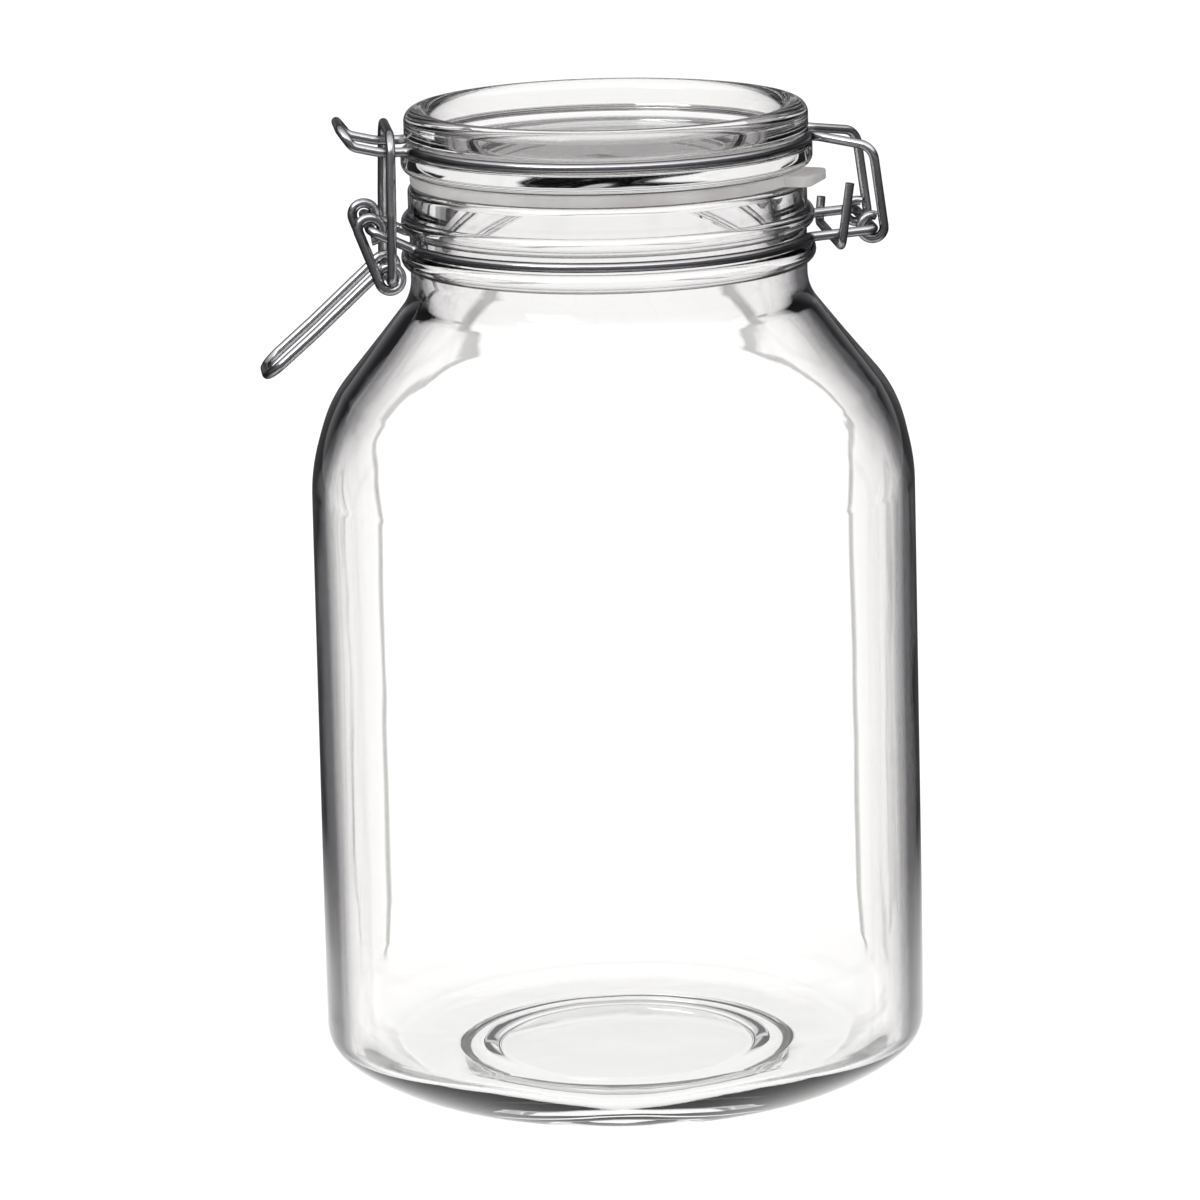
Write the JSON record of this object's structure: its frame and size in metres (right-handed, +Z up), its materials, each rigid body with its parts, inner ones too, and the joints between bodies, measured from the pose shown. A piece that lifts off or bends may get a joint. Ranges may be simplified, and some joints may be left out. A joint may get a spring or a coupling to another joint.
{
  "type": "canning jar",
  "caption": "Square-bodied clear glass storage jar with a hinged glass lid, a rubber gasket and a wire bail closure worked by a lever.",
  "frame": {"origin": "middle of the bounding box's footprint, in the plane that the foot ring stands on", "axes": "+Z up along the jar, +X and +Y square to the flat sides of the body, +X from the latch side towards the hinge side. The lid and closure are turned 6.2 degrees about the jar's axis from latch at -X and hinge at +X, as on the pictured jar, so the hinge axes lie 6.2 degrees off +Y. The jar's own axis stands at x = 5.76 mm because the lever's handle reaches further out than the body."},
  "size_m": [0.1582, 0.1466, 0.245],
  "materials": {
    "clear_glass": "polished clear",
    "steel_wire": "bright drawn wire",
    "pale_rubber": "smooth, slightly translucent"
  },
  "bodies": {
    "jar": {"glass_jar": "clear_glass", "neck_wire": "steel_wire", "hinge_tie": "steel_wire"},
    "lid": {"glass_lid": "clear_glass", "gasket": "pale_rubber", "lid_wire": "steel_wire"},
    "lever": {"latch_lever": "steel_wire"},
    "bail": {"bail_wire": "steel_wire"}
  },
  "joints": [
    {"name": "lid_swing", "type": "hinge", "parent": "jar", "child": "lid", "pos_m": [0.0679, 0.00675, 0.21455], "axis": [-0.108, 0.9942, 0], "range_deg": [0, 120]},
    {"name": "lever_swing", "type": "hinge", "parent": "jar", "child": "lever", "pos_m": [-0.05219, -0.0063, 0.21855], "axis": [-0.108, 0.9942, 0], "range_deg": [0, 115]},
    {"name": "bail_swing", "type": "hinge", "parent": "lever", "child": "bail", "pos_m": [-0.04762, -0.0058, 0.20615], "axis": [-0.108, 0.9942, 0], "range_deg": [-102, 0]}
  ],
  "couplings": [
    {"joint": "bail_swing", "follows": "lever_swing", "ratio": -0.88}
  ]
}
